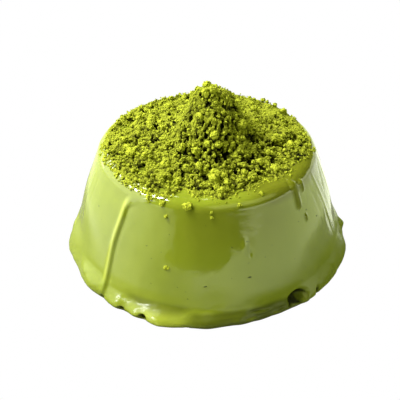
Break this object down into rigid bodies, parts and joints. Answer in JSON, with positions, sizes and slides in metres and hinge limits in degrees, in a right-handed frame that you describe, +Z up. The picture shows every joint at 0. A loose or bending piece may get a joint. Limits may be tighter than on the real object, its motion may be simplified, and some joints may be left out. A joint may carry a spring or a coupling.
{
  "type": "mochi rice cake",
  "caption": "Moulded sweet rice cake with a leaning wall, a glossy green-tea glaze that pools round its foot and a steep heap of clumpy tea powder on top.",
  "frame": {"origin": "middle of the flat underside, on the surface the cake stands on", "axes": "+Z up; -Y is the front, with the long run of glaze on its left; +X is the right"},
  "size_m": [0.0753, 0.0755, 0.0511],
  "materials": {
    "glaze": "glossy opaque pale-green glaze, wet-looking, with faint flow marks and small dark specks",
    "powder": "dry matt green-tea powder clotted into rough clumps with dark gaps"
  },
  "bodies": {
    "root": {"glazed_cake": "glaze", "powder_heap": "powder"}
  },
  "joints": []
}
